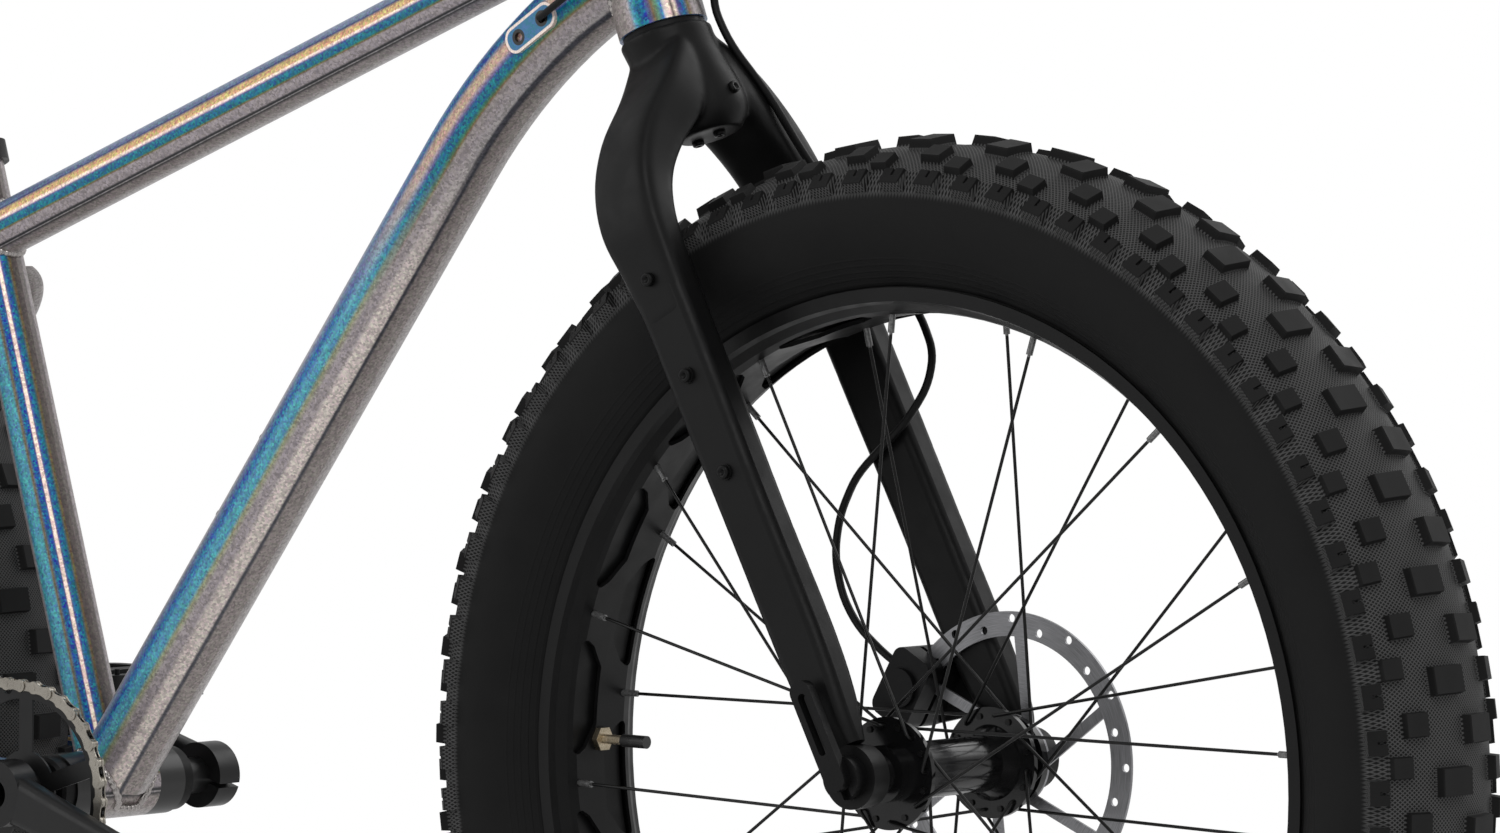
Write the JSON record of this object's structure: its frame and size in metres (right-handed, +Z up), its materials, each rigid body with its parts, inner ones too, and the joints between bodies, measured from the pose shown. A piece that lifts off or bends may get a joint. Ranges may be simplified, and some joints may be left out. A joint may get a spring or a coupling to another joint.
{
  "type": "fat tire bike",
  "caption": "Rigid mountain bicycle with wide knobby tyres, bent down tube, carbon fork, disc brakes and a single-ring chain drive.",
  "frame": {"origin": "on the ground, midway between the two axles", "axes": "+X forward, +Y to the rider's left, +Z up"},
  "size_m": [1.898, 0.7722, 1.0208],
  "materials": {
    "frame_paint": "glossy silver paint with fine flake",
    "carbon": "satin black moulded carbon",
    "tyre_rubber": "matte moulded rubber",
    "black_alloy": "satin black anodised",
    "gloss_black_alloy": "gloss black anodised",
    "black_steel": "black steel",
    "steel": "plain steel",
    "rotor_steel": "ground stainless steel",
    "chain_steel": "nickel plated steel",
    "black_plastic": "moulded black plastic",
    "black_rubber": "matte black rubber",
    "saddle_cover": "grained black synthetic leather",
    "brass": "nickel plated brass"
  },
  "bodies": {
    "frame": {"head_tube": "frame_paint", "top_tube": "frame_paint", "down_tube": "frame_paint", "seat_tube": "frame_paint", "bottom_bracket_shell": "frame_paint", "chainstays": "frame_paint", "seatstays": "frame_paint", "dropouts": "frame_paint", "headset_bearings": "black_steel", "bottom_bracket_cups": "black_alloy", "seat_collar": "black_alloy", "rear_axle": "black_alloy", "rear_caliper": "black_alloy", "rear_brake_hose": "black_rubber", "shift_cable": "black_rubber", "chain": "chain_steel", "frame_fittings": "black_plastic", "rear_derailleur": "black_alloy"},
    "derailleur_cage": {"derailleur_cage": "black_alloy"},
    "upper_pulley": {"upper_pulley": "black_plastic"},
    "lower_pulley": {"lower_pulley": "black_plastic"},
    "seat": {"seatpost": "black_alloy", "saddle": "saddle_cover", "saddle_shell": "black_plastic", "saddle_rails": "black_steel"},
    "steering": {"fork": "carbon", "headset_spacers": "black_alloy", "stem": "black_alloy", "handlebar": "black_alloy", "grips": "black_rubber", "brake_lever_mounts": "black_alloy", "shifter": "black_plastic", "front_caliper": "black_alloy", "front_brake_hose": "black_rubber", "cockpit_bolts": "black_steel"},
    "front_axle": {"front_axle": "black_alloy", "axle_lever": "black_alloy"},
    "left_brake_lever": {"left_brake_lever": "black_alloy"},
    "right_brake_lever": {"right_brake_lever": "black_alloy"},
    "shift_down_lever": {"shift_down_lever": "black_plastic"},
    "shift_up_lever": {"shift_up_lever": "black_plastic"},
    "front_wheel": {"front_tyre": "tyre_rubber", "front_rim": "black_alloy", "front_spokes": "black_steel", "front_hub": "gloss_black_alloy", "front_rotor": "rotor_steel", "front_valve": "brass"},
    "rear_wheel": {"rear_tyre": "tyre_rubber", "rear_rim": "black_alloy", "rear_spokes": "black_steel", "rear_hub": "gloss_black_alloy", "rear_rotor": "rotor_steel", "rear_valve": "brass"},
    "cassette": {"cassette": "steel"},
    "crank": {"right_crank": "black_alloy", "left_crank": "black_alloy", "chainring": "black_alloy"},
    "left_pedal": {"left_pedal": "black_plastic"},
    "right_pedal": {"right_pedal": "black_plastic"}
  },
  "joints": [
    {"name": "steer", "type": "hinge", "parent": "frame", "child": "steering", "pos_m": [0.35357, 0, 0.81846], "axis": [-0.3502, 0, 0.9367], "range_deg": [-60, 60], "deforming": ["rear_brake_hose", "shift_cable"]},
    {"name": "front_wheel_spin", "type": "hinge", "parent": "steering", "child": "front_wheel", "pos_m": [0.572, 0, 0.377], "axis": [0, 1, 0], "continuous": true},
    {"name": "front_axle_turn", "type": "hinge", "parent": "steering", "child": "front_axle", "pos_m": [0.572, 0, 0.377], "axis": [0, 1, 0], "continuous": true},
    {"name": "rear_wheel_spin", "type": "hinge", "parent": "frame", "child": "rear_wheel", "pos_m": [-0.572, 0, 0.377], "axis": [0, 1, 0], "continuous": true},
    {"name": "crank_spin", "type": "hinge", "parent": "frame", "child": "crank", "pos_m": [-0.13, 0, 0.328], "axis": [0, 1, 0], "continuous": true, "deforming": ["chain"]},
    {"name": "cassette_spin", "type": "hinge", "parent": "frame", "child": "cassette", "pos_m": [-0.572, 0, 0.377], "axis": [0, 1, 0], "continuous": true},
    {"name": "left_pedal_spin", "type": "hinge", "parent": "crank", "child": "left_pedal", "pos_m": [-0.29448, 0.1035, 0.37829], "axis": [0, 1, 0], "continuous": true},
    {"name": "right_pedal_spin", "type": "hinge", "parent": "crank", "child": "right_pedal", "pos_m": [0.03448, -0.1035, 0.27771], "axis": [0, 1, 0], "continuous": true},
    {"name": "cage_swing", "type": "hinge", "parent": "frame", "child": "derailleur_cage", "pos_m": [-0.592, -0.075, 0.261], "axis": [0, 1, 0], "range_deg": [-25, 35], "stiffness_Nm_per_rad": 0.6, "deforming": ["chain"]},
    {"name": "upper_pulley_spin", "type": "hinge", "parent": "derailleur_cage", "child": "upper_pulley", "pos_m": [-0.592, -0.075, 0.261], "axis": [0, 1, 0], "continuous": true},
    {"name": "lower_pulley_spin", "type": "hinge", "parent": "derailleur_cage", "child": "lower_pulley", "pos_m": [-0.54922, -0.075, 0.1841], "axis": [0, 1, 0], "continuous": true},
    {"name": "seatpost_slide", "type": "slide", "parent": "frame", "child": "seat", "axis": [-0.284, 0, 0.9588], "range_m": [-0.1, 0.06]},
    {"name": "left_brake_pull", "type": "hinge", "parent": "steering", "child": "left_brake_lever", "pos_m": [0.38157, 0.24323, 1.00433], "axis": [0, 0, 1], "range_deg": [0, 13.5], "stiffness_Nm_per_rad": 1.2},
    {"name": "right_brake_pull", "type": "hinge", "parent": "steering", "child": "right_brake_lever", "pos_m": [0.38157, -0.24323, 1.00433], "axis": [0, 0, -1], "range_deg": [0, 13.5], "stiffness_Nm_per_rad": 1.2},
    {"name": "shift_down_push", "type": "hinge", "parent": "steering", "child": "shift_down_lever", "pos_m": [0.34927, -0.20001, 0.97098], "axis": [0, 0, 1], "range_deg": [0, 28], "stiffness_Nm_per_rad": 0.4},
    {"name": "shift_up_push", "type": "hinge", "parent": "steering", "child": "shift_up_lever", "pos_m": [0.34927, -0.20001, 0.97098], "axis": [0, 0, -1], "range_deg": [0, 15], "stiffness_Nm_per_rad": 0.4}
  ],
  "couplings": [
    {"joint": "cassette_spin", "follows": "crank_spin", "ratio": 1.619},
    {"joint": "lower_pulley_spin", "follows": "crank_spin", "ratio": 2.8333},
    {"joint": "upper_pulley_spin", "follows": "crank_spin", "ratio": -2.8333}
  ]
}
